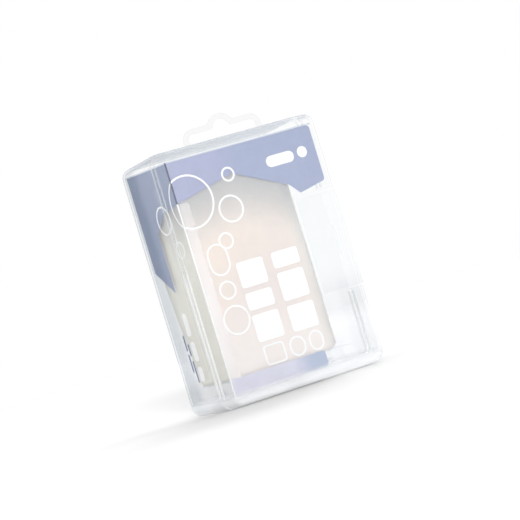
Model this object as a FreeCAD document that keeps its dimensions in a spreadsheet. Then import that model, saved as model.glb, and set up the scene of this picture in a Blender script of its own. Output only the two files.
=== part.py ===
# Clay bar in a clear hinged hang-tab case with a printed clear sleeve.
# Frame: millimetres, +Z up, origin at the middle of the case's footprint, case front faces -Y.
import FreeCAD, Part
import os
import Sketcher

doc = FreeCAD.newDocument("ClayCase")
V = FreeCAD.Vector

# driving sizes: alias, value, meaning
driving = [
    ("caseHeight", 105.0, "case height without the hang tab"),
    ("caseWidth", 72.0, "case width over the parting rims"),
    ("caseDepth", 41.0, "case depth, lid front to tray back"),
    ("wall", 0.9, "moulded wall thickness"),
    ("lidDepth", 10.8, "depth of the front lid"),
    ("lidInset", 0.8, "draft of the lid at its front face, each side"),
    ("sideInset", 0.8, "draft of the tray at its back face, each side"),
    ("topInset", 1.5, "draft of the tray's top at its back face"),
    ("cornerRadius", 4.0, "rounded corners seen from the front"),
    ("backRadius", 2.6, "rounding round the tray's back face"),
    ("frontRadius", 1.3, "rounding round the lid's front face"),
    ("partingGap", 0.3, "gap between lid rim and tray rim"),
    ("hingeOut", 0.5, "hinge axis outside the case's left side"),
    ("beadRadius", 0.3, "radius of a living-hinge bead"),
    ("flapHeight", 40.0, "latch flap height"),
    ("flapReach", 31.0, "latch flap length, front to back"),
    ("flapThick", 0.8, "latch flap thickness"),
    ("flapSetback", 1.0, "flap's inner face in from the case's half width"),
    ("flapSlit", 0.6, "slit above and below the flap"),
    ("flapGap", 0.35, "running gap between flap and recess floor"),
    ("catchHeight", 13.0, "catch slot height"),
    ("catchWidth", 2.2, "catch slot width"),
    ("tabWidth", 36.0, "hang tab outer width"),
    ("tabShoulder", 6.0, "hang tab height at its side lobes"),
    ("tabRise", 3.2, "height of the hang tab's hump centre"),
    ("tabHump", 6.2, "outer radius of the hang tab's hump"),
    ("tabBand", 2.2, "width of the hang tab's band"),
    ("tabThick", 1.2, "hang tab thickness"),
    ("sheet", 0.4, "clear sleeve thickness"),
    ("ink", 0.15, "printed film thickness"),
    ("sleeveBase", 4.4, "bottom of the sleeve above the ground"),
    ("sleeveHeadroom", 4.5, "top of the sleeve below the case's top"),
    ("sideGap", 0.35, "gap between sleeve and lid on the left"),
    ("latchGap", 0.5, "gap between sleeve and lid on the latch side"),
    ("frontGap", 0.6, "gap between sleeve and lid front"),
    ("rearGap", 1.0, "gap between sleeve and tray back"),
    ("foldGap", 0.3, "gap between the shelf's folds and the panels"),
    ("shelfTop", 11.0, "top of the folded shelf above the ground"),
    ("shelfRun", 57.5, "width of the folded shelf"),
    ("clayWidth", 50.5, "clay width"),
    ("clayDepth", 35.0, "clay depth over its upper part"),
    ("clayBaseDepth", 28.5, "clay depth at its foot"),
    ("clayRise", 42.0, "height over which the clay's rear face slopes"),
    ("clayHeight", 81.0, "clay height"),
    ("clayEdge", 5.0, "rounding of the clay's upright edges"),
    ("clayIn", 1.5, "clay in from the sleeve's left panel"),
    ("clayBack", 1.3, "clay back from the sleeve's front panel"),
    ("footLap", 0.6, "foot strip up over the clay's lower edge"),
]

# sizes worked out from the driving ones
derived = [
    ("ground", "0"),
    ("earReach", "3.1"),
    ("ridgeWidth", "1"),
    ("flapCorner", "1.5"),
    ("inkCorner", "1.6"),
    ("halfWidth", "caseWidth / 2"),
    ("frontOff", "caseDepth / 2"),
    ("backOff", "-caseDepth / 2"),
    ("partOff", "caseDepth / 2 - lidDepth"),
    ("trayRim", "partOff - partingGap / 2"),
    ("lidRim", "partOff + partingGap / 2"),
    ("trayBackHalf", "halfWidth - sideInset"),
    ("trayBackTop", "caseHeight - topInset"),
    ("trayRimInner", "halfWidth - wall"),
    ("trayBackInner", "trayBackHalf - wall"),
    ("trayInnerOff", "backOff + wall"),
    ("innerCorner", "cornerRadius - wall"),
    ("lidFrontHalf", "halfWidth - lidInset"),
    ("lidFrontTop", "caseHeight - lidInset"),
    ("lidInnerOff", "frontOff - wall"),
    ("lidFrontInner", "lidFrontHalf - wall"),
    ("flapMid", "caseHeight / 2"),
    ("flapLow", "flapMid - flapHeight / 2"),
    ("flapHigh", "flapMid + flapHeight / 2"),
    ("recessLow", "flapLow - flapSlit"),
    ("recessHigh", "flapHigh + flapSlit"),
    ("backingLow", "recessLow - wall"),
    ("backingHigh", "recessHigh + wall"),
    ("flapInner", "halfWidth - flapSetback"),
    ("flapOuter", "flapInner + flapThick"),
    ("recessFloor", "flapInner - flapGap"),
    ("backingInner", "recessFloor - wall"),
    ("backingOuter", "recessFloor + wall / 2"),
    ("outside", "halfWidth + 3"),
    ("flapAxisX", "flapInner + flapThick / 2"),
    ("flapAxisOff", "frontOff - wall / 2"),
    ("flapAxisY", "-flapAxisOff"),
    ("flapStart", "flapAxisOff - beadRadius - 0.3"),
    ("flapEndY", "flapReach - flapStart"),
    ("recessLength", "flapEndY + trayRim + flapSlit"),
    ("backingLength", "recessLength + wall"),
    ("lidCutX", "flapInner - 1"),
    ("lidCutOff", "frontOff + 1"),
    ("lidCutLength", "lidDepth + 2"),
    ("catchLow", "flapMid - catchHeight / 2"),
    ("catchHigh", "flapMid + catchHeight / 2"),
    ("catchFront", "-(partOff + 3.2)"),
    ("catchRear", "catchFront + catchWidth"),
    ("earLow", "catchLow + 0.4"),
    ("earHigh", "catchHigh - 0.4"),
    ("earRidge", "recessFloor + 0.15"),
    ("earRidgeOff", "partOff + 1.6"),
    ("webX", "-(halfWidth + hingeOut)"),
    ("webY", "-partOff"),
    ("webOuter", "webX - 0.1"),
    ("webInner", "-halfWidth"),
    ("webFront", "-trayRim - 0.1"),
    ("webRear", "webFront + 0.9"),
    ("webLow", "cornerRadius + 8"),
    ("webLength", "caseHeight - 2 * webLow"),
    ("flapWebLow", "flapLow + 0.5"),
    ("flapWebLength", "flapHeight - 1"),
    ("flapWebFront", "flapAxisY - 0.15"),
    ("flapWebRear", "flapAxisY + 0.15"),
    ("tabHalf", "tabWidth / 2"),
    ("tabTop", "caseHeight + tabShoulder"),
    ("tabCentre", "caseHeight + tabRise"),
    ("tabHoleHalf", "tabHalf - tabBand"),
    ("tabHoleTop", "tabTop - tabBand"),
    ("tabHoleHump", "tabHump - tabBand"),
    ("tabHoleBase", "caseHeight - 1"),
    ("tabCorner", "tabShoulder * 0.8"),
    ("tabInnerCorner", "tabCorner * 0.45"),
    ("tabValley", "tabBand * 0.6"),
    ("sleeveTop", "caseHeight - sleeveHeadroom"),
    ("sleeveLeft", "-(lidFrontInner - sideGap)"),
    ("sleeveLeftIn", "sleeveLeft + sheet"),
    ("sleeveRight", "lidFrontInner - latchGap"),
    ("sleeveBackRight", "trayBackInner - rearGap - 0.1"),
    ("sleeveFront", "-(lidInnerOff - frontGap)"),
    ("sleeveFrontIn", "sleeveFront + sheet"),
    ("sleeveBack", "-trayInnerOff - rearGap"),
    ("sleeveBackIn", "sleeveBack - sheet"),
    ("sleeveHeight", "sleeveTop - sleeveBase"),
    ("shelfUnder", "shelfTop - sheet"),
    ("shelfRight", "sleeveLeftIn + shelfRun"),
    ("shelfFront", "sleeveFrontIn + foldGap"),
    ("shelfRear", "sleeveBackIn - foldGap"),
    ("legLeft", "-(trayRimInner - innerCorner - 0.4)"),
    ("legHeight", "shelfTop - wall"),
    ("legFront", "-trayRim + 0.5"),
    ("legFrontIn", "legFront + sheet"),
    ("legRear", "shelfRear - sheet"),
    ("inkFront", "sleeveFrontIn + ink"),
    ("inkFrontOff", "-inkFront"),
    ("inkSpan", "sleeveRight - sleeveLeftIn"),
    ("inkTop", "sleeveTop - 0.6"),
    ("inkRight", "sleeveRight - 0.5"),
    ("inkBack", "sleeveBackIn"),
    ("headLeftZ", "sleeveTop - 0.178 * sleeveHeight"),
    ("headPeakX", "sleeveLeftIn + 0.40 * inkSpan"),
    ("headPeakZ", "sleeveTop - 0.115 * sleeveHeight"),
    ("headDropX", "sleeveLeftIn + 0.75 * inkSpan"),
    ("headDropZ", "sleeveTop - 0.226 * sleeveHeight"),
    ("headTipX", "sleeveLeftIn + 0.81 * inkSpan"),
    ("headTipZ", "sleeveTop - 0.272 * sleeveHeight"),
    ("headRightZ", "sleeveTop - 0.247 * sleeveHeight"),
    ("sideSpan", "sleeveBackIn - sleeveFrontIn"),
    ("sideNearY", "sleeveFrontIn + 0.40 * sideSpan"),
    ("sideNearZ", "sleeveTop - 0.199 * sleeveHeight"),
    ("sideMidY", "sleeveFrontIn + 0.66 * sideSpan"),
    ("sideMidZ", "sleeveTop - 0.269 * sleeveHeight"),
    ("sideTipZ", "sleeveTop - 0.52 * sleeveHeight"),
    ("sideBackZ", "sleeveTop - 0.42 * sleeveHeight"),
    ("footLow", "sleeveBase + 0.5"),
    ("footRight", "sleeveLeftIn + 0.655 * inkSpan"),
    ("footTop", "shelfTop + footLap"),
    ("clayLeft", "sleeveLeftIn + clayIn"),
    ("clayRight", "clayLeft + clayWidth"),
    ("clayFront", "sleeveFrontIn + clayBack"),
    ("clayRear", "clayFront + clayDepth"),
    ("clayRearOff", "clayRear + 1"),
    ("clayBaseRear", "clayFront + clayBaseDepth"),
    ("clayBaseRearOff", "clayBaseRear - (clayRear - clayBaseRear) / clayRise"),
    ("clayUnder", "shelfTop - 1"),
    ("clayKink", "shelfTop + clayRise"),
    ("clayKinkOff", "clayKink + clayRise / (clayRear - clayBaseRear)"),
    ("clayTopEdge", "clayEdge * 0.8"),
    ("clayBaseEdge", "clayEdge * 0.4"),
]

sheetRows = doc.addObject("Spreadsheet::Sheet", "Sizes")
row = 0
for alias, value, meaning in driving:
    row += 1
    sheetRows.set("A%d" % row, meaning)
    sheetRows.set("B%d" % row, str(value))
    sheetRows.setAlias("B%d" % row, alias)
for alias, formula in derived:
    row += 1
    sheetRows.set("A%d" % row, "worked out")
    sheetRows.set("B%d" % row, "=" + formula)
    sheetRows.setAlias("B%d" % row, alias)
doc.recompute()


def size(name):
    sign = -1.0 if name.startswith("-") else 1.0
    return sign * float(sheetRows.get(name.lstrip("-")))


def tied(name):
    if name.startswith("-"):
        return "-Sizes." + name[1:]
    return "Sizes." + name


def newBody(label):
    body = doc.addObject("PartDesign::Body", label)
    body.Label = label
    return body


def originPlane(body, role):
    return [p for p in body.Origin.OriginFeatures if p.Role == role][0]


def newSketch(body, name, role, offset=None):
    sketch = body.newObject("Sketcher::SketchObject", name)
    sketch.AttachmentSupport = [(originPlane(body, role), "")]
    sketch.MapMode = "FlatFace"
    if offset:
        sketch.AttachmentOffset = FreeCAD.Placement(V(0, 0, size(offset)), FreeCAD.Rotation())
        sketch.setExpression("AttachmentOffset.Base.z", tied(offset))
    return sketch


def polygon(sketch, corners):
    points = [V(size(a), size(b), 0) for a, b in corners]
    count = len(points)
    for i in range(count):
        sketch.addGeometry(Part.LineSegment(points[i], points[(i + 1) % count]), False)
    for i in range(count):
        sketch.addConstraint(Sketcher.Constraint("Coincident", i, 2, (i + 1) % count, 1))
    for i, (a, b) in enumerate(corners):
        for kind, name in (("DistanceX", a), ("DistanceY", b)):
            spot = sketch.addConstraint(Sketcher.Constraint(kind, -1, 1, i, 1, size(name)))
            sketch.setExpression("Constraints[%d]" % spot, tied(name))
    return sketch


def rectangle(sketch, left, right, low, high):
    return polygon(sketch, [(left, low), (right, low), (right, high), (left, high)])


def circle(sketch, across, up, radius):
    sketch.addGeometry(Part.Circle(V(size(across), size(up), 0), V(0, 0, 1), size(radius)), False)
    for kind, name in (("DistanceX", across), ("DistanceY", up)):
        spot = sketch.addConstraint(Sketcher.Constraint(kind, -1, 1, 0, 3, size(name)))
        sketch.setExpression("Constraints[%d]" % spot, tied(name))
    spot = sketch.addConstraint(Sketcher.Constraint("Radius", 0, size(radius)))
    sketch.setExpression("Constraints[%d]" % spot, tied(radius))
    return sketch


def extrude(body, kind, sketch, length, back=False):
    feature = body.newObject("PartDesign::" + kind, kind + sketch.Name)
    feature.Profile = sketch
    feature.Length = size(length)
    feature.setExpression("Length", tied(length))
    feature.Reversed = back
    doc.recompute()
    return feature


def hollow(body, rim):
    base = body.Tip
    names = []
    for i, face in enumerate(base.Shape.Faces):
        box = face.BoundBox
        if box.YLength < 1e-3 and abs(box.YMin - rim) < 1e-3:
            names.append("Face%d" % (i + 1))
    feature = body.newObject("PartDesign::Thickness", "Hollow" + base.Name)
    feature.Base = (base, names)
    feature.Value = size("wall")
    feature.setExpression("Value", tied("wall"))
    feature.Reversed = True
    doc.recompute()
    return feature


def slope(body, name, corners):
    sketch = newSketch(body, name, "YZ_Plane")
    polygon(sketch, corners)
    feature = body.newObject("PartDesign::Pocket", "Cut" + name)
    feature.Profile = sketch
    feature.Type = "ThroughAll"
    feature.Midplane = True
    doc.recompute()
    return feature


def soften(body, radius, pick):
    base = body.Tip
    names = []
    for i, edge in enumerate(base.Shape.Edges):
        if pick(edge.BoundBox):
            names.append("Edge%d" % (i + 1))
    feature = body.newObject("PartDesign::Fillet", "Fillet" + base.Name)
    feature.Base = (base, names)
    feature.Radius = size(radius)
    feature.setExpression("Radius", tied(radius))
    doc.recompute()
    return feature


def level(value):
    return lambda box: abs(box.YMin - value) < 1e-4 and abs(box.YMax - value) < 1e-4


def crease(height, reach=1000.0):
    # front-to-back edges at one height, near the middle if a reach is given
    return lambda box: (box.YLength > 0.5 and box.ZLength < 1e-3
                        and abs(box.ZMin - size(height)) < 1e-3
                        and box.XLength < 1e-3 and abs(box.XMin) < reach)


def makeTray():
    body = newBody("rear_tray")
    plan = newSketch(body, "TrayPlan", "XY_Plane")
    polygon(plan, [("-halfWidth", "-trayRim"), ("halfWidth", "-trayRim"),
                   ("trayBackHalf", "-backOff"), ("-trayBackHalf", "-backOff")])
    extrude(body, "Pad", plan, "caseHeight")
    slope(body, "TrayTopSlope", [("-trayRim", "caseHeight"), ("-backOff", "trayBackTop"),
                                 ("-backOff", "caseHeight")])
    long = (size("trayRim") - size("backOff")) * 0.8
    soften(body, "cornerRadius", lambda box: box.YLength > long)
    soften(body, "backRadius", level(-size("backOff")))
    hollow(body, -size("trayRim"))
    backing = newSketch(body, "RecessBacking", "XZ_Plane", "trayRim")
    rectangle(backing, "backingInner", "backingOuter", "backingLow", "backingHigh")
    extrude(body, "Pad", backing, "backingLength", True)
    recess = newSketch(body, "FlapRecess", "XZ_Plane", "trayRim")
    rectangle(recess, "recessFloor", "outside", "recessLow", "recessHigh")
    extrude(body, "Pocket", recess, "recessLength", False)
    ear = newSketch(body, "CatchEar", "XZ_Plane", "trayRim")
    rectangle(ear, "backingInner", "recessFloor", "earLow", "earHigh")
    extrude(body, "Pad", ear, "earReach", False)
    ridge = newSketch(body, "CatchRidge", "XZ_Plane", "earRidgeOff")
    rectangle(ridge, "recessFloor", "earRidge", "earLow", "earHigh")
    extrude(body, "Pad", ridge, "ridgeWidth", False)
    return body


def makeLid():
    body = newBody("front_lid")
    plan = newSketch(body, "LidPlan", "XY_Plane")
    polygon(plan, [("-halfWidth", "-lidRim"), ("halfWidth", "-lidRim"),
                   ("lidFrontHalf", "-frontOff"), ("-lidFrontHalf", "-frontOff")])
    extrude(body, "Pad", plan, "caseHeight")
    slope(body, "LidTopSlope", [("-lidRim", "caseHeight"), ("-frontOff", "lidFrontTop"),
                                ("-frontOff", "caseHeight")])
    slope(body, "LidLowSlope", [("-lidRim", "ground"), ("-frontOff", "lidInset"),
                                ("-frontOff", "ground")])
    long = (size("frontOff") - size("lidRim")) * 0.8
    soften(body, "cornerRadius", lambda box: box.YLength > long)
    soften(body, "frontRadius", level(-size("frontOff")))
    hollow(body, -size("lidRim"))
    cut = newSketch(body, "FlapOpening", "XZ_Plane", "lidCutOff")
    rectangle(cut, "lidCutX", "outside", "recessLow", "recessHigh")
    extrude(body, "Pocket", cut, "lidCutLength", False)
    return body


def makeFlap():
    body = newBody("latch_flap")
    plate = newSketch(body, "FlapOutline", "YZ_Plane", "flapInner")
    rectangle(plate, "-flapStart", "flapEndY", "flapLow", "flapHigh")
    extrude(body, "Pad", plate, "flapThick")
    rearEnd = size("flapEndY")
    soften(body, "flapCorner", lambda box: box.XLength > 0.5 and abs(box.YMin - rearEnd) < 1e-4)
    slot = newSketch(body, "CatchSlot", "YZ_Plane", "flapOuter")
    rectangle(slot, "catchFront", "catchRear", "catchLow", "catchHigh")
    extrude(body, "Pocket", slot, "flapThick", False)
    return body


def makeWeb(label, across, deep, low, length, plate):
    body = newBody(label)
    bead = newSketch(body, label + "Bead", "XY_Plane", low)
    circle(bead, across, deep, "beadRadius")
    extrude(body, "Pad", bead, length)
    strip = newSketch(body, label + "Strip", "XY_Plane", low)
    rectangle(strip, *plate)
    extrude(body, "Pad", strip, length)
    return body


def makeHangTab():
    body = newBody("hang_tab")
    lobes = newSketch(body, "TabLobes", "XZ_Plane", "trayRim")
    rectangle(lobes, "-tabHalf", "tabHalf", "caseHeight", "tabTop")
    extrude(body, "Pad", lobes, "tabThick", True)
    soften(body, "tabCorner", crease("tabTop"))
    hump = newSketch(body, "TabHump", "XZ_Plane", "trayRim")
    circle(hump, "ground", "tabCentre", "tabHump")
    extrude(body, "Pad", hump, "tabThick", True)
    soften(body, "tabValley", crease("tabTop", size("tabHump")))
    hole = newSketch(body, "TabSlot", "XZ_Plane", "trayRim")
    rectangle(hole, "-tabHoleHalf", "tabHoleHalf", "tabHoleBase", "tabHoleTop")
    extrude(body, "Pocket", hole, "tabThick", False)
    soften(body, "tabInnerCorner", crease("tabHoleTop"))
    eye = newSketch(body, "TabEye", "XZ_Plane", "trayRim")
    circle(eye, "ground", "tabCentre", "tabHoleHump")
    extrude(body, "Pocket", eye, "tabThick", False)
    soften(body, "tabValley", crease("tabHoleTop", size("tabHoleHump")))
    under = newSketch(body, "TabUnderside", "XZ_Plane", "trayRim")
    rectangle(under, "-tabHalf", "tabHalf", "ground", "caseHeight")
    extrude(body, "Pocket", under, "tabThick", False)
    return body


def makeSleeve():
    body = newBody("print_sleeve")
    wrap = newSketch(body, "SleeveProfile", "XY_Plane", "sleeveBase")
    polygon(wrap, [("sleeveRight", "sleeveFront"), ("sleeveRight", "sleeveFrontIn"),
                   ("sleeveLeftIn", "sleeveFrontIn"), ("sleeveLeftIn", "sleeveBackIn"),
                   ("sleeveBackRight", "sleeveBackIn"), ("sleeveBackRight", "sleeveBack"),
                   ("sleeveLeft", "sleeveBack"), ("sleeveLeft", "sleeveFront")])
    extrude(body, "Pad", wrap, "sleeveHeight")
    shelf = newSketch(body, "ShelfPlate", "XY_Plane", "shelfUnder")
    rectangle(shelf, "sleeveLeftIn", "shelfRight", "shelfFront", "shelfRear")
    extrude(body, "Pad", shelf, "sheet")
    for name, front, rear in (("FrontLeg", "legFront", "legFrontIn"),
                              ("RearLeg", "legRear", "shelfRear")):
        leg = newSketch(body, name, "XY_Plane", "wall")
        rectangle(leg, "legLeft", "shelfRight", front, rear)
        extrude(body, "Pad", leg, "legHeight")
    return body


def makeHeaderInk():
    body = newBody("header_ink")
    face = newSketch(body, "HeaderFront", "XZ_Plane", "inkFrontOff")
    polygon(face, [("sleeveLeftIn", "inkTop"), ("sleeveLeftIn", "headLeftZ"),
                   ("headPeakX", "headPeakZ"), ("headDropX", "headDropZ"),
                   ("headTipX", "headTipZ"), ("inkRight", "headRightZ"),
                   ("inkRight", "inkTop")])
    extrude(body, "Pad", face, "ink", False)
    right = size("inkRight")
    soften(body, "inkCorner", lambda box: box.YLength > 0.01 and abs(box.XMin - right) < 1e-4
           and box.ZLength < 1e-4)
    side = newSketch(body, "HeaderSide", "YZ_Plane", "sleeveLeftIn")
    polygon(side, [("sleeveFrontIn", "inkTop"), ("sleeveFrontIn", "headLeftZ"),
                   ("sideNearY", "sideNearZ"), ("sideMidY", "sideMidZ"),
                   ("sideMidY", "sideTipZ"), ("inkBack", "sideBackZ"), ("inkBack", "inkTop")])
    extrude(body, "Pad", side, "ink", False)
    return body


def makeFootInk():
    body = newBody("foot_ink")
    face = newSketch(body, "FootStrip", "XZ_Plane", "inkFrontOff")
    rectangle(face, "sleeveLeftIn", "footRight", "footLow", "footTop")
    extrude(body, "Pad", face, "ink", False)
    right = size("footRight")
    soften(body, "inkCorner", lambda box: box.YLength > 0.01 and abs(box.XMin - right) < 1e-4
           and box.ZLength < 1e-4)
    return body


def makeClay():
    body = newBody("clay_block")
    base = newSketch(body, "ClayBase", "XY_Plane", "shelfTop")
    rectangle(base, "clayLeft", "clayRight", "clayFront", "clayRear")
    extrude(body, "Pad", base, "clayHeight")
    high = size("clayHeight") * 0.8
    soften(body, "clayEdge", lambda box: box.ZLength > high)
    top = size("shelfTop") + size("clayHeight")
    soften(body, "clayTopEdge", lambda box: box.ZMin > top - 1e-4)
    low = size("shelfTop")
    soften(body, "clayBaseEdge", lambda box: box.ZMax < low + 1e-4)
    slope(body, "ClayRearSlope", [("clayBaseRearOff", "clayUnder"), ("clayRearOff", "clayUnder"),
                                  ("clayRearOff", "clayKinkOff")])
    return body


bodies = [
    makeTray(),
    makeLid(),
    makeFlap(),
    makeWeb("lid_hinge_web", "webX", "webY", "webLow", "webLength",
            ("webOuter", "webInner", "webFront", "webRear")),
    makeWeb("flap_hinge_web", "flapAxisX", "flapAxisY", "flapWebLow", "flapWebLength",
            ("lidCutX", "flapAxisX", "flapWebFront", "flapWebRear")),
    makeHangTab(),
    makeSleeve(),
    makeHeaderInk(),
    makeFootInk(),
    makeClay(),
]
doc.recompute()

for thing in doc.Objects:
    if "Invalid" in thing.State or "Error" in thing.State:
        raise RuntimeError("bad state: " + thing.Name)
os.makedirs("parts", exist_ok=True)
for body in bodies:
    shape = body.Shape
    if shape.isNull() or not shape.isValid() or len(shape.Solids) != 1:
        raise RuntimeError("bad shape: %s, %d solids" % (body.Label, len(shape.Solids)))
    print(body.Label, round(shape.Volume, 2), shape.BoundBox)
    shape.exportStep("parts/" + body.Label + ".step")
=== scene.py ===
import math

import bmesh
import bpy
from mathutils import Matrix, Vector, noise


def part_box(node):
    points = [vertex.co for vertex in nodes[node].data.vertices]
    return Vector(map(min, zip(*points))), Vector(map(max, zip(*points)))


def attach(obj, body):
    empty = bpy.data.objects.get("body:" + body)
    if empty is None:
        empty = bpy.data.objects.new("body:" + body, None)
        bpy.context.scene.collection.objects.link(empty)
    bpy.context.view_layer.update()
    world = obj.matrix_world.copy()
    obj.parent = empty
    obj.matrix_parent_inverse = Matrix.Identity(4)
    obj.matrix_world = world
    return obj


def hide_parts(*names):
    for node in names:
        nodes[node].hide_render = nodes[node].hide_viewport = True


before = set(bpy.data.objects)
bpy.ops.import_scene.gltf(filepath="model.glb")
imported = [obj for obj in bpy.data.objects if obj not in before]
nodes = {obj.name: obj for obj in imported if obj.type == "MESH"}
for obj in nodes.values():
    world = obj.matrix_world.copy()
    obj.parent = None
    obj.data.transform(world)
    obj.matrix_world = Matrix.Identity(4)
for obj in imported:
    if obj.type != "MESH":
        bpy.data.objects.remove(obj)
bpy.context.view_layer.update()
scene = bpy.context.scene
mm = 0.001
cloudEnds = (0.3, 0.7)    # the part of the noise that is spread over the whole range
print("frame loaded,", len(nodes), "nodes")


# small helpers for building node trees
def startMaterial(name):
    material = bpy.data.materials.new(name)
    material.use_nodes = True
    tree = material.node_tree
    tree.nodes.clear()
    output = tree.nodes.new("ShaderNodeOutputMaterial")
    return material, tree, output


def fill(tree, socket, value):
    if isinstance(value, bpy.types.NodeSocket):
        tree.links.new(value, socket)
    elif value is not None:
        socket.default_value = value


def addNode(tree, kind, values, **settings):
    node = tree.nodes.new("ShaderNode" + kind)
    for name, value in settings.items():
        setattr(node, name, value)
    for name, value in values.items():
        fill(tree, node.inputs[name], value)
    return node


def calc(tree, operation, a, b=None, clamp=False):
    node = tree.nodes.new("ShaderNodeMath")
    node.operation = operation
    node.use_clamp = clamp
    fill(tree, node.inputs[0], a)
    fill(tree, node.inputs[1], b)
    return node.outputs[0]


def band(tree, value, low, high, toLow=0.0, toHigh=1.0):
    return addNode(tree, "MapRange", {"Value": value, "From Min": low, "From Max": high,
                                      "To Min": toLow, "To Max": toHigh},
                   interpolation_type="SMOOTHSTEP").outputs["Result"]


def zone(tree, value, ends, toLow=0.0, toHigh=1.0):
    return band(tree, value, ends[0] * mm, ends[1] * mm, toLow, toHigh)


def blendColor(tree, factor, a, b):
    node = tree.nodes.new("ShaderNodeMix")
    node.data_type = "RGBA"
    fill(tree, node.inputs["Factor"], factor)
    for socket, value in ((node.inputs[6], a), (node.inputs[7], b)):
        fill(tree, socket, (*value, 1.0) if isinstance(value, tuple) else value)
    return node.outputs[2]


def cloud(tree, place, scale, detail=3.0, low=0.0, high=1.0):
    speck = addNode(tree, "TexNoise", {"Vector": place, "Scale": scale, "Detail": detail})
    return band(tree, speck.outputs["Fac"], *cloudEnds, low, high)


def objectPlace(tree):
    place = addNode(tree, "TexCoord", {})
    parts = addNode(tree, "SeparateXYZ", {"Vector": place.outputs["Object"]})
    return place, parts.outputs["X"], parts.outputs["Y"], parts.outputs["Z"]


def linear(red, green, blue):
    parts = []
    for value in (red, green, blue):
        value = value / 255.0
        parts.append(value / 12.92 if value <= 0.04045 else ((value + 0.055) / 1.055) ** 2.4)
    return tuple(parts)


def lightStopped(tree, passing):
    # lamps and bounced light reach the inside through the clear walls
    rays = addNode(tree, "LightPath", {})
    light = calc(tree, "ADD", rays.outputs["Is Shadow Ray"], rays.outputs["Is Diffuse Ray"], True)
    return calc(tree, "SUBTRACT", 1.0, calc(tree, "MULTIPLY", light, passing))


def dress(name, material):
    for spot in nodes[name].material_slots:
        spot.material = material


# the clear plastic of the case, the tab and the sleeve
caseLook = {
    "body": linear(250, 251, 253),
    "through": linear(254.4, 254.7, 254.9),
    "lowShadeThrough": linear(253.8, 254.0, 254.3),    # painted shade: a little greyer towards the base
    "rightShadeThrough": linear(252.2, 252.5, 252.9),  # and more painted shade low on the right
    "edgeThrough": linear(208, 214, 222),
    "leftLine": linear(158, 172, 194),      # the thick rear left corner, seen along its wall
    "sideShadeThrough": linear(253, 253, 253),   # painted shade: greyer seen through the left wall, which faces away from the lamps
    "rearShadeThrough": linear(243, 244, 245),   # and greyer still through its rear part
    "haze": 0.04,       # the milky share of the wall
    "baseHaze": 0.60,
    "edgeHaze": 0.45,   # added where the wall is seen edge-on
    "edgeFrom": 0.58,
    "lampPass": 0.85,   # the share of it that lets lamps through
    "roughness": 0.16,
    "ior": 1.49,
    "flow": 0.05, "flowScale": 26.0, "flowDepth": 0.6,
    "mistScale": 40.0, "mistSpread": (0.85, 1.15),
}
caseZones = {    # where the look changes, as from and to in millimetres
    "top": (48.0, 62.0),
    "base": (7.0, 2.5),
    "low": (45.0, 20.0),
    "right": (21.0, 26.0), "rightLow": (42.0, 28.0),
    "side": (-33.4, -33.8), "rear": (4.0, 12.0),
    "corner": (-33.5, -34.5), "cornerLow": (100.0, 90.0),
    "topLine": (99.6, 99.9),
}
tabLook = dict(caseLook, haze=0.03, edgeHaze=0.06, edgeFrom=0.5, body=linear(238, 239, 240), roughness=0.4,
               flow=0.0, through=linear(252, 252, 252), edgeThrough=linear(247, 248, 249))
sleeveLook = dict(caseLook, haze=0.03, baseHaze=0.1, edgeHaze=0.25, roughness=0.1, flow=0.02,
                  topThrough=linear(240, 242, 246), edgeThrough=linear(240, 243, 247))


def clearPlastic(name, look):
    material, tree, output = startMaterial(name)
    spot, x, y, z = objectPlace(tree)
    place = spot.outputs["Object"]
    facing = addNode(tree, "LayerWeight", {"Blend": 0.5}).outputs["Facing"]
    edge = band(tree, facing, look["edgeFrom"], 1.0)
    haze = zone(tree, z, caseZones["top"], look["haze"], look.get("topHaze", look["haze"]))
    haze = zone(tree, z, caseZones["base"], haze, look["baseHaze"])
    mist = calc(tree, "MULTIPLY", cloud(tree, place, look["mistScale"], 2.0, *look["mistSpread"]), haze)
    opacity = calc(tree, "ADD", mist, calc(tree, "MULTIPLY", edge, look["edgeHaze"]), True)
    stopped = lightStopped(tree, look["lampPass"])
    opacity = calc(tree, "MULTIPLY", opacity, stopped)
    # painted shade on the left wall, greyer towards its rear
    side = calc(tree, "MULTIPLY", zone(tree, x, caseZones["side"]), stopped)
    sideShadeTint = blendColor(tree, zone(tree, y, caseZones["rear"]), look["sideShadeThrough"], look["rearShadeThrough"])
    # painted shade: the clear walls greyer low down and low on the right
    clear = blendColor(tree, zone(tree, z, caseZones["low"]), look["through"], look["lowShadeThrough"])
    right = calc(tree, "MULTIPLY", zone(tree, x, caseZones["right"]), zone(tree, z, caseZones["rightLow"]))
    clear = blendColor(tree, right, clear, look["rightShadeThrough"])
    clear = blendColor(tree, side, clear, sideShadeTint)
    if "topThrough" in look:
        clear = blendColor(tree, zone(tree, z, caseZones["topLine"]), clear, look["topThrough"])
    corner = calc(tree, "MULTIPLY", zone(tree, x, caseZones["corner"]),
                  zone(tree, z, caseZones["cornerLow"]))
    edgeTint = blendColor(tree, corner, look["edgeThrough"], look["leftLine"])
    through = addNode(tree, "BsdfTransparent",
                      {"Color": blendColor(tree, calc(tree, "MULTIPLY", edge, stopped), clear, edgeTint)})
    ripple = addNode(tree, "Bump", {"Strength": look["flow"], "Distance": look["flowDepth"] * mm,
                                    "Height": cloud(tree, place, look["flowScale"], 2.0)})
    plastic = addNode(tree, "BsdfPrincipled", {"Base Color": (*look["body"], 1.0), "IOR": look["ior"],
                                               "Roughness": look["roughness"],
                                               "Normal": ripple.outputs[0]})
    mix = addNode(tree, "MixShader", {0: opacity, 1: through.outputs[0], 2: plastic.outputs[0]})
    fill(tree, output.inputs["Surface"], mix.outputs[0])
    return material


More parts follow.
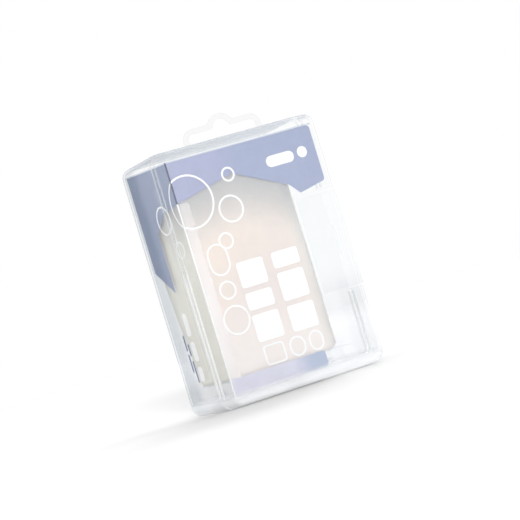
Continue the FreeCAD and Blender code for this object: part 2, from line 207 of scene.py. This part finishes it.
casePlastic = clearPlastic("clear_case_plastic", caseLook)
tabPlastic = clearPlastic("cloudy_tab_plastic", tabLook)
sleeveFilm = clearPlastic("clear_sleeve_film", sleeveLook)
for name in ("rear_tray", "front_lid", "latch_flap", "lid_hinge_web", "flap_hinge_web"):
    dress(name, casePlastic)
dress("hang_tab", tabPlastic)
dress("print_sleeve", sleeveFilm)
print("clear plastic done")


# the inks of the printed sleeve, and a white strip along the fold that is a painted highlight; turn is where
# left becomes right, in millimetres
headerLook = {
    "left": linear(168, 172, 203), "right": linear(159, 168, 198), "turn": (-16.0, 0.0),
    # side: the blue darkened with painted shade on the left panel, which faces away from the lamps
    "side": linear(149, 162, 190), "opacity": 0.97, "lampPass": 0.5,
}
footLook = {
    "left": linear(220, 219, 234), "right": linear(178, 190, 214), "turn": (-6.0, 6.0),
    "side": linear(206, 206, 224), "opacity": 0.9, "lampPass": 0.8,
}
whiteInkLook = {"color": linear(254, 254, 254), "opacity": 0.97, "lampPass": 0.9}
outlineInkLook = {"color": linear(254, 254, 254), "opacity": 0.92, "lampPass": 0.9}
# painted highlight: the line of light along the case's rounded front-left edge, as a white strip on the fold
foldHighlightLook = {"color": linear(254, 254, 254), "opacity": 0.62, "lampPass": 0.9}
navyInkLook = {"color": linear(108, 117, 158), "opacity": 0.75, "lampPass": 0.8}
foldInkLook = {"color": linear(70, 78, 104), "opacity": 0.85, "lampPass": 0.8}
inkGrain = {"fine": 900.0, "patch": 240.0, "spread": 0.02, "roughness": 0.42, "ior": 1.45}
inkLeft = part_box("header_ink")[0].x / mm
sidePanel = (inkLeft - 0.01, inkLeft + 0.05)    # ink left of this is on the left panel


def ink(name, colorOf, look):
    material, tree, output = startMaterial(name)
    place, x, y, z = objectPlace(tree)
    spread = inkGrain["spread"]
    speck = cloud(tree, place.outputs["Object"], inkGrain["fine"], 2.0, -spread, spread)
    color = colorOf(tree, x)
    tone = addNode(tree, "HueSaturation", {"Color": color, "Value": calc(tree, "ADD", speck, 1.0)})
    face = addNode(tree, "BsdfPrincipled", {"Base Color": tone.outputs[0], "IOR": inkGrain["ior"],
                                            "Roughness": inkGrain["roughness"]})
    gap = addNode(tree, "BsdfTransparent", {"Color": (1.0, 1.0, 1.0, 1.0)})
    patch = cloud(tree, place.outputs["Object"], inkGrain["patch"], 2.0, -spread, spread)
    cover = calc(tree, "ADD", patch, look["opacity"])
    cover = calc(tree, "MULTIPLY", cover, lightStopped(tree, look["lampPass"]))
    mix = addNode(tree, "MixShader", {0: cover, 1: gap.outputs[0], 2: face.outputs[0]})
    fill(tree, output.inputs["Surface"], mix.outputs[0])
    return material


def plainTone(color):
    return lambda tree, x: (*color, 1.0)


def acrossTone(look):
    def toned(tree, x):
        front = blendColor(tree, zone(tree, x, look["turn"]), look["left"], look["right"])
        # the left panel takes the side colour; for the header this is painted shade
        return blendColor(tree, zone(tree, x, sidePanel), look["side"], front)
    return toned


headerInk = ink("dusty_blue_ink", acrossTone(headerLook), headerLook)
footInk = ink("foot_blue_ink", acrossTone(footLook), footLook)
whiteInk = ink("white_ink", plainTone(whiteInkLook["color"]), whiteInkLook)
outlineInk = ink("white_line_ink", plainTone(outlineInkLook["color"]), outlineInkLook)
foldHighlightPaint = ink("painted_fold_highlight", plainTone(foldHighlightLook["color"]), foldHighlightLook)
navyInk = ink("small_blue_ink", plainTone(navyInkLook["color"]), navyInkLook)
foldInk = ink("fold_ink", plainTone(foldInkLook["color"]), foldInkLook)
dress("header_ink", headerInk)
dress("foot_ink", footInk)
print("inks done")


# the print is laid out flat: u runs round the fold, front u > 0, left panel u < 0, z is the height
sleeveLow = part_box("print_sleeve")[0]
sleeveFront, sleeveLeft = sleeveLow.y / mm, sleeveLow.x / mm
onFold = 1e-6         # closer to the fold than this counts as on it
foldShare = 0.7       # how much of its lift a point on the fold keeps each way


def onSheet(u, z, lift):
    if u > onFold:
        return Vector((sleeveLeft + u, sleeveFront - lift, z)) * mm
    if u < -onFold:
        return Vector((sleeveLeft - lift, sleeveFront - u, z)) * mm
    return Vector((sleeveLeft - lift * foldShare, sleeveFront - lift * foldShare, z)) * mm


def pill(u, z, width, height, corner, steps=8):
    corner = min(corner, width / 2, height / 2)
    outline = []
    for k, (cu, cz) in enumerate(((1, 1), (-1, 1), (-1, -1), (1, -1))):
        for i in range(steps + 1):
            angle = math.pi / 2 * (k + i / steps)
            outline.append((u + cu * (width / 2 - corner) + corner * math.cos(angle),
                            z + cz * (height / 2 - corner) + corner * math.sin(angle)))
    return outline


def ring(u, z, radius, steps=96):
    return [(u + radius * math.cos(2 * math.pi * i / steps),
             z + radius * math.sin(2 * math.pi * i / steps)) for i in range(steps)]


def inward(outline, width):
    count = len(outline)
    moved = []
    for i in range(count):
        a, b = Vector(outline[i - 1]), Vector(outline[(i + 1) % count])
        along = (b - a).normalized()
        moved.append((outline[i][0] - along.y * width, outline[i][1] + along.x * width))
    return moved


def addStrip(mesh, outer, inner, thickness):
    rows = []
    for outline in (outer, inner):
        for lift in (printLayout["lift"], printLayout["lift"] + thickness):
            rows.append([mesh.verts.new(onSheet(u, z, lift)) for u, z in outline])
    count = len(outer)
    for i in range(count):
        j = (i + 1) % count
        for a, b in ((0, 1), (1, 3), (3, 2), (2, 0)):
            mesh.faces.new((rows[a][i], rows[a][j], rows[b][j], rows[b][i]))


def addPlate(mesh, outline, thickness):
    lift = printLayout["lift"]
    low = [mesh.verts.new(onSheet(u, z, lift)) for u, z in outline]
    high = [mesh.verts.new(onSheet(u, z, lift + thickness)) for u, z in outline]
    mesh.faces.new(low)
    mesh.faces.new(high)
    for i in range(len(outline)):
        j = (i + 1) % len(outline)
        mesh.faces.new((low[i], low[j], high[j], high[i]))


def finishMesh(name, mesh, material, body, smooth=False):
    bmesh.ops.recalc_face_normals(mesh, faces=mesh.faces)
    data = bpy.data.meshes.new(name)
    mesh.to_mesh(data)
    mesh.free()
    data.materials.append(material)
    for face in data.polygons:
        face.use_smooth = smooth
    piece = bpy.data.objects.new(name, data)
    scene.collection.objects.link(piece)
    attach(piece, body)
    return piece


printLayout = {
    "thickness": 0.045, "lift": 0.005,
    "badge": [(50.0, 89.6, 13.0, 4.6, 2.3), (60.6, 90.0, 4.6, 4.6, 2.3)],  # u, z, width, height, corner
    "bars": [(23.2, 49.5, 12.2, 10.5, 1.2), (23.2, 38.6, 12.2, 7.0, 1.2), (23.2, 27.6, 12.2, 11.0, 1.2),
             (39.4, 51.4, 12.2, 6.6, 1.2), (39.4, 40.4, 12.2, 11.5, 1.2), (39.4, 27.2, 12.2, 10.6, 1.2)],
    "bubbles": [(5.5, 83.0, 11.0), (22.5, 76.0, 5.6), (16.2, 64.4, 3.4), (-15.0, 79.0, 6.0),
                (-8.5, 66.0, 3.6), (25.5, 89.4, 3.0)],                     # u, z, radius
    "rings": [(10.6, 58.0, 9.4, 13.0, 4.7), (10.6, 45.6, 7.6, 7.6, 3.8), (10.6, 33.4, 12.0, 12.0, 6.0),
              (22.6, 16.4, 9.6, 8.2, 1.6), (33.2, 16.4, 7.4, 8.2, 3.7), (42.0, 16.4, 6.6, 8.2, 3.3)],
    "bubbleLine": 0.8,
    "ringLine": 0.75,
    "sideBars": [(-22.6, 37.0, 3.6, 9.5, 1.2), (-22.6, 26.0, 3.6, 8.0, 1.2), (-22.6, 16.6, 3.6, 6.0, 1.2)],
    "sideDashes": [(-28.6, 30.0, 1.1, 6.5, 0.5), (-28.6, 21.6, 1.1, 7.5, 0.5), (-26.6, 27.0, 1.1, 5.0, 0.5),
                   (-26.6, 18.0, 1.1, 9.0, 0.5)],
    "crease": {"low": 83.4, "high": 100.3, "front": 0.5, "side": -0.25},
    "foldHighlight": {"low": 4.6, "high": 83.4, "front": 0.55, "side": -0.3},
}


def foldStrip(item):
    front, side, low, high = item["front"], item["side"], item["low"], item["high"]
    return [(front, low), (front, high), (0.0, high), (side, high), (side, low), (0.0, low)]


def makePrintAndFoldHighlight():
    thick = printLayout["thickness"]
    solid = bmesh.new()
    for item in printLayout["badge"] + printLayout["bars"] + printLayout["sideBars"]:
        addPlate(solid, pill(*item), thick)
    finishMesh("white_bars", solid, whiteInk, "tray")
    lines = bmesh.new()
    for u, z, radius in printLayout["bubbles"]:
        outer = ring(u, z, radius)
        addStrip(lines, outer, inward(outer, printLayout["bubbleLine"]), thick)
    for item in printLayout["rings"]:
        outer = pill(*item)
        addStrip(lines, outer, inward(outer, printLayout["ringLine"]), thick)
    finishMesh("white_outlines", lines, outlineInk, "tray")
    dashes = bmesh.new()
    for item in printLayout["sideDashes"]:
        addPlate(dashes, pill(*item), thick)
    finishMesh("blue_dashes", dashes, navyInk, "tray")
    crease = bmesh.new()
    addPlate(crease, foldStrip(printLayout["crease"]), thick)
    finishMesh("fold_crease", crease, foldInk, "tray")
    # painted highlight down the fold below the header
    bright = bmesh.new()
    addPlate(bright, foldStrip(printLayout["foldHighlight"]), thick)
    finishMesh("fold_highlight_line", bright, foldHighlightPaint, "tray")


makePrintAndFoldHighlight()
print("print done")


# the clay, softer at its edges than the plain block that it replaces; places in millimetres
clayLook = {
    "front": linear(235, 223, 218),
    "frontWarm": linear(241, 226, 214),
    "frontLowLight": linear(249, 240, 234),
    "rightShade": linear(230, 226, 220),
    "side": linear(239, 237, 226),
    "underHeaderShade": linear(191, 190, 189),
    "lowFrom": (45.0, 15.0), "edgeFrom": (10.0, 18.0), "turned": (-0.85, -0.20),
    "shaded": (66.0, 90.0), "peak": 6.6, "slopes": (-0.21, 0.47),    # painted shade: greyer just under the header, where its shadow falls
    "plain": (0.25, 0.8), "plainShare": 0.15,    # but plain on the right, the back and the top
    "patchScale": 32.0, "fineScale": 420.0, "fineSpread": (0.985, 1.015),
    "dimple": 0.2, "dimpleDepth": 0.8, "dimpleScale": 160.0,
    "roughness": 0.5, "ior": 1.4,
    "cuts": 39,
    "round": {"left": 1.8, "right": 6.0, "top": 12.0, "base": 0.8, "front": 2.4, "rear": 2.6},
    "rearFoot": 6.5,    # how far the rear face draws in at the foot
    "rearRise": 42.0,
    "dent": 0.4, "dentScale": 34.0,
}


def clayMaterial():
    material, tree, output = startMaterial("kneadable_clay")
    place, x, y, z = objectPlace(tree)
    normal = addNode(tree, "SeparateXYZ", {"Vector": place.outputs["Normal"]})
    patch = cloud(tree, place.outputs["Object"], clayLook["patchScale"], 2.0)
    warm = blendColor(tree, patch, clayLook["front"], clayLook["frontWarm"])
    # painted light: paler towards the base
    warm = blendColor(tree, zone(tree, z, clayLook["lowFrom"]), warm, clayLook["frontLowLight"])
    # painted shade: greyer towards the right, for the rounded right edge turning away
    warm = blendColor(tree, zone(tree, x, clayLook["edgeFrom"]), warm, clayLook["rightShade"])
    away = band(tree, normal.outputs["Y"], *clayLook["turned"])
    body = blendColor(tree, away, warm, clayLook["side"])
    # painted shade just under the header's lower edge, which slopes down each way from its peak
    fromPeak = calc(tree, "ADD", x, clayLook["peak"] * mm)
    falls = [calc(tree, "MULTIPLY", fromPeak, slope) for slope in clayLook["slopes"]]
    height = zone(tree, calc(tree, "ADD", z, calc(tree, "MAXIMUM", *falls)), clayLook["shaded"])
    turned = calc(tree, "MAXIMUM", normal.outputs["X"], normal.outputs["Y"])
    turned = calc(tree, "MAXIMUM", turned, normal.outputs["Z"])
    plain = band(tree, turned, *clayLook["plain"], 1.0, clayLook["plainShare"])
    height = calc(tree, "MULTIPLY", height, plain)
    body = blendColor(tree, height, body, clayLook["underHeaderShade"])
    fine = cloud(tree, place.outputs["Object"], clayLook["fineScale"], 4.0, *clayLook["fineSpread"])
    tone = addNode(tree, "HueSaturation", {"Color": body, "Value": fine})
    pits = cloud(tree, place.outputs["Object"], clayLook["dimpleScale"], 5.0)
    dimple = addNode(tree, "Bump", {"Strength": clayLook["dimple"], "Distance": clayLook["dimpleDepth"] * mm,
                                    "Height": pits})
    clay = addNode(tree, "BsdfPrincipled", {"Base Color": tone.outputs[0], "IOR": clayLook["ior"],
                                            "Roughness": clayLook["roughness"],
                                            "Normal": dimple.outputs[0]})
    fill(tree, output.inputs["Surface"], clay.outputs[0])
    return material


def makeClay():
    low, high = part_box("clay_block")
    centre, half = (low + high) / 2, (high - low) / 2
    edges = {side: size * mm for side, size in clayLook["round"].items()}
    mesh = bmesh.new()
    bmesh.ops.create_cube(mesh, size=2.0)
    bmesh.ops.subdivide_edges(mesh, edges=mesh.edges, cuts=clayLook["cuts"], use_grid_fill=True)
    for vert in mesh.verts:
        spot = Vector((vert.co.x * half.x, vert.co.y * half.y, vert.co.z * half.z))
        reach = Vector((edges["left"] if spot.x < 0 else edges["right"],
                        edges["front"] if spot.y < 0 else edges["rear"],
                        edges["base"] if spot.z < 0 else edges["top"]))
        core, out = Vector(), Vector()
        for k in range(3):
            core[k] = max(-(half[k] - reach[k]), min(half[k] - reach[k], spot[k]))
            out[k] = (spot[k] - core[k]) / reach[k]
        if out.length > 1e-9:
            direction = out.normalized()
            spot = core + Vector([direction[k] * reach[k] for k in range(3)])
        above = (spot.z + half.z) / (clayLook["rearRise"] * mm)
        if spot.y > 0 and above < 1:
            spot.y -= clayLook["rearFoot"] * mm * (1 - above) * spot.y / half.y
        dent = abs(noise.noise(spot * clayLook["dentScale"])) * clayLook["dent"] * mm
        vert.co = centre + spot - spot.normalized() * dent
    clay = finishMesh("clay_bar", mesh, clayMaterial(), "tray", smooth=True)
    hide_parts("clay_block")


makeClay()
print("clay done")


# a milky strip behind the front panel beside the fold, a painted highlight for the pale band of light along
# the case's rounded edge; places in millimetres
foldSheenLook = {"color": linear(249, 242, 239), "topCover": 0.24, "baseCover": 0.7, "lampPass": 0.9,
            "coverFrom": (30.0, 83.0), "grain": 60.0, "spread": (0.92, 1.08), "corner": 0.8,
            "roughness": 0.4, "ior": 1.45,
            "from": 0.6, "to": 5.4, "low": 11.4, "high": 83.0, "depth": (-18.56, -18.42)}


def makeFoldSheen():
    material, tree, output = startMaterial("painted_fold_sheen")
    place, x, y, z = objectPlace(tree)
    # painted highlight: more cover, so paler, towards the base
    cover = zone(tree, z, foldSheenLook["coverFrom"], foldSheenLook["baseCover"], foldSheenLook["topCover"])
    grain = cloud(tree, place.outputs["Object"], foldSheenLook["grain"], 2.0, *foldSheenLook["spread"])
    cover = calc(tree, "MULTIPLY", cover, grain)
    cover = calc(tree, "MULTIPLY", cover, lightStopped(tree, foldSheenLook["lampPass"]), True)
    clear = addNode(tree, "BsdfTransparent", {"Color": (1.0, 1.0, 1.0, 1.0)})
    milky = addNode(tree, "BsdfPrincipled", {"Base Color": (*foldSheenLook["color"], 1.0),
                                             "Roughness": foldSheenLook["roughness"], "IOR": foldSheenLook["ior"]})
    mix = addNode(tree, "MixShader", {0: cover, 1: clear.outputs[0], 2: milky.outputs[0]})
    fill(tree, output.inputs["Surface"], mix.outputs[0])
    front, back = foldSheenLook["depth"]
    outline = pill((foldSheenLook["from"] + foldSheenLook["to"]) / 2, (foldSheenLook["low"] + foldSheenLook["high"]) / 2,
                   foldSheenLook["to"] - foldSheenLook["from"], foldSheenLook["high"] - foldSheenLook["low"], foldSheenLook["corner"])
    mesh = bmesh.new()
    rows = [[mesh.verts.new(Vector((sleeveLeft + u, depth, height)) * mm) for u, height in outline]
            for depth in (front, back)]
    for row in rows:
        mesh.faces.new(row)
    for i in range(len(outline)):
        j = (i + 1) % len(outline)
        mesh.faces.new((rows[0][i], rows[0][j], rows[1][j], rows[1][i]))
    finishMesh("fold_sheen_strip", mesh, material, "tray")


makeFoldSheen()
print("glue edge done")


# the pale rims beside the parting line: the case's rims, drawn milky white as a painted highlight for the
# bright lines of light at the wall ends; in millimetres
rimSheenLook = dict(caseLook, haze=0.7, topHaze=0.14, baseHaze=0.75, edgeHaze=0.1, roughness=0.35,
               edgeThrough=linear(240, 243, 248), body=linear(253, 253, 253))
rims = {
    "sides": 12, "cornerSteps": 8,
    "thick": 0.33, "deep": 0.8,     # half its width across the wall and along it
    "low": 0.52, "high": 103.75, "half": 34.78, "corner": 3.0,
    "gapLow": 30.6, "gapHigh": 74.4,       # left open behind the latch flap
    "lid": {"depth": -11.2, "lowCorner": 1.4},      # tight, so that it swings clear of the sleeve
    "tray": {"depth": -7.95, "lowCorner": 5.0},
}
rimSheenPlastic = clearPlastic("rim_sheen_plastic", rimSheenLook)


def rimPath(low):
    half, high = rims["half"], rims["corner"]
    path = [(half, rims["gapHigh"])]
    for cx, cz, start, corner in ((half - high, rims["high"] - high, 0, high),
                                  (-half + high, rims["high"] - high, 90, high),
                                  (-half + low, rims["low"] + low, 180, low),
                                  (half - low, rims["low"] + low, 270, low)):
        for i in range(rims["cornerSteps"] + 1):
            angle = math.radians(start + 90 * i / rims["cornerSteps"])
            path.append((cx + corner * math.cos(angle), cz + corner * math.sin(angle)))
    path.append((half, rims["gapLow"]))
    return path


def makeRim(name, body):
    depth = rims[body]["depth"]
    path = rimPath(rims[body]["lowCorner"])
    sides = rims["sides"]
    mesh = bmesh.new()
    rows = []
    for i, (x, z) in enumerate(path):
        before, after = path[max(i - 1, 0)], path[min(i + 1, len(path) - 1)]
        along = Vector((after[0] - before[0], after[1] - before[1])).normalized()
        row = []
        for k in range(sides):
            angle = 2 * math.pi * k / sides
            across = rims["thick"] * math.cos(angle)
            row.append(mesh.verts.new(Vector((x - along.y * across, depth + rims["deep"] * math.sin(angle),
                                              z + along.x * across)) * mm))
        rows.append(row)
    for a, b in zip(rows, rows[1:]):
        for k in range(sides):
            mesh.faces.new((a[k], a[(k + 1) % sides], b[(k + 1) % sides], b[k]))
    mesh.faces.new(rows[0])
    mesh.faces.new(rows[-1])
    finishMesh(name, mesh, rimSheenPlastic, body, smooth=True)


makeRim("lid_rim_sheen", "lid")
makeRim("tray_rim_sheen", "tray")
print("rims done")


# floor, lamps and camera; the suns light only the floor
studio = {
    "floorSize": 3.0, "sky": (0.985, 0.992, 1.0), "aim": (0.0, 0.0, 0.05),
    "ambient": 0.49,
    "keyPower": 7.1, "keySize": 0.3, "keySpot": (-0.486, -1.205, 0.32),
    "fillPower": 2.45, "fillSize": 1.1, "fillSpot": (-1.25, -0.25, 0.75),
    "backPower": 24.0, "backSize": 1.2, "backSpot": (1.08, 1.49, 1.85),
    "paper": (0.50, 0.50, 0.50), "lift": 0.075, "bounce": (0.50, 0.50, 0.50),
    "shadeReach": 0.06, "shadeDepth": 0.24, "shadeSamples": 12,    # the soft dark line round the base
    "frontSun": 7.5, "frontSunFrom": (-0.374, -0.927, 0.19), "frontSunWidth": 14.0,
    "backSun": 0.55, "backSunFrom": (0.587, 0.809, 1.0), "backSunWidth": 34.0,
    "sideSun": 0.95, "sideSunFrom": (0.50, -0.12, 0.85), "sideSunWidth": 34.0,
    "fade": (0.60, 1.20),    # metres from the case over which the floor turns plain white
    "clearBounces": 48,
}


def seenDirectly(tree):
    rays = addNode(tree, "LightPath", {})
    seen = calc(tree, "ADD", rays.outputs["Is Camera Ray"], rays.outputs["Is Glossy Ray"])
    return calc(tree, "ADD", seen, rays.outputs["Is Transmission Ray"], True)


def makeFloor():
    mesh = bmesh.new()
    bmesh.ops.create_grid(mesh, x_segments=8, y_segments=8, size=studio["floorSize"])
    data = bpy.data.meshes.new("studio_floor")
    mesh.to_mesh(data)
    mesh.free()
    floor = bpy.data.objects.new("studio_floor", data)
    scene.collection.objects.link(floor)
    material, tree, output = startMaterial("pale_floor")
    place = addNode(tree, "TexCoord", {}).outputs["Object"]
    far = addNode(tree, "VectorMath", {0: place}, operation="LENGTH").outputs["Value"]
    openness = addNode(tree, "AmbientOcclusion", {"Distance": studio["shadeReach"]},
                       samples=studio["shadeSamples"])
    shade = addNode(tree, "MapRange", {"Value": openness.outputs["AO"],
                                       "To Min": 1.0 - studio["shadeDepth"]}).outputs["Result"]
    shadedPaper = blendColor(tree, shade, (0.0, 0.0, 0.0), studio["paper"])
    paper = addNode(tree, "BsdfDiffuse", {"Color": shadedPaper})
    lift = addNode(tree, "Emission", {"Color": (1.0, 1.0, 1.0, 1.0),
                                      "Strength": calc(tree, "MULTIPLY", shade, studio["lift"])})
    near = addNode(tree, "AddShader", {0: paper.outputs[0], 1: lift.outputs[0]})
    bounce = addNode(tree, "BsdfDiffuse", {"Color": (*studio["bounce"], 1.0)})
    white = addNode(tree, "Emission", {"Color": (1.0, 1.0, 1.0, 1.0), "Strength": 1.0})
    soft = addNode(tree, "MixShader", {0: band(tree, far, *studio["fade"]), 1: near.outputs[0],
                                       2: white.outputs[0]})
    shown = addNode(tree, "MixShader", {0: seenDirectly(tree), 1: bounce.outputs[0],
                                        2: soft.outputs[0]})
    fill(tree, output.inputs["Surface"], shown.outputs[0])
    data.materials.append(material)
    return floor


def makeWorld():
    world = bpy.data.worlds.new("studio_world")
    world.use_nodes = True
    tree = world.node_tree
    tree.nodes.clear()
    output = tree.nodes.new("ShaderNodeOutputWorld")
    seen = addNode(tree, "Background", {"Color": (1.0, 1.0, 1.0, 1.0), "Strength": 1.0})
    light = addNode(tree, "Background", {"Color": (*studio["sky"], 1.0), "Strength": studio["ambient"]})
    mix = addNode(tree, "MixShader", {0: seenDirectly(tree), 1: light.outputs[0], 2: seen.outputs[0]})
    fill(tree, output.inputs["Surface"], mix.outputs[0])
    scene.world = world


def makeLamp(name, power, size, spot):
    data = bpy.data.lights.new(name, "AREA")
    data.shape = "SQUARE"
    data.size = size
    data.energy = power
    lamp = bpy.data.objects.new(name, data)
    lamp.location = spot
    aim = Vector(studio["aim"]) - Vector(spot)
    lamp.rotation_euler = aim.to_track_quat("-Z", "Y").to_euler()
    scene.collection.objects.link(lamp)
    return lamp


def makeFloorSun(name, strength, width, source, onlyFor):
    data = bpy.data.lights.new(name, "SUN")
    data.energy = strength
    data.angle = math.radians(width)
    sun = bpy.data.objects.new(name, data)
    sun.rotation_euler = (-Vector(source)).to_track_quat("-Z", "Y").to_euler()
    scene.collection.objects.link(sun)
    sun.light_linking.receiver_collection = onlyFor
    return sun


cameraSetup = {
    "spot": (-0.51705, -0.98211, 0.04984),
    "right": (0.84554, -0.44778, -0.2908),
    "up": (0.25544, -0.139, 0.95678),
    "view": (0.46884, 0.88328, 0.00315),
    "lens": 190.94, "sensor": 36.0, "clip": (0.01, 20.0),
}


def makeCamera():
    data = bpy.data.cameras.new("studio_camera")
    data.lens = cameraSetup["lens"]
    data.sensor_width = cameraSetup["sensor"]
    data.clip_start, data.clip_end = cameraSetup["clip"]
    camera = bpy.data.objects.new("studio_camera", data)
    turn = Matrix([cameraSetup["right"], cameraSetup["up"], [-v for v in cameraSetup["view"]]]).transposed()
    camera.matrix_world = Matrix.Translation(cameraSetup["spot"]) @ turn.to_4x4()
    scene.collection.objects.link(camera)
    scene.camera = camera


floor = makeFloor()
makeWorld()
floorOnly = bpy.data.collections.new("floor_only")
floorOnly.objects.link(floor)
for side in ("front", "back", "side"):
    sun = side + "Sun"
    makeFloorSun(side + "_sun", studio[sun], studio[sun + "Width"], studio[sun + "From"], floorOnly)
for lamp in ("key", "fill", "back"):
    makeLamp(lamp + "_lamp", studio[lamp + "Power"], studio[lamp + "Size"], studio[lamp + "Spot"])
makeCamera()
scene.view_settings.view_transform = "Standard"
scene.cycles.transparent_max_bounces = studio["clearBounces"]    # rays cross many clear walls
print("floor, lamps and camera done")
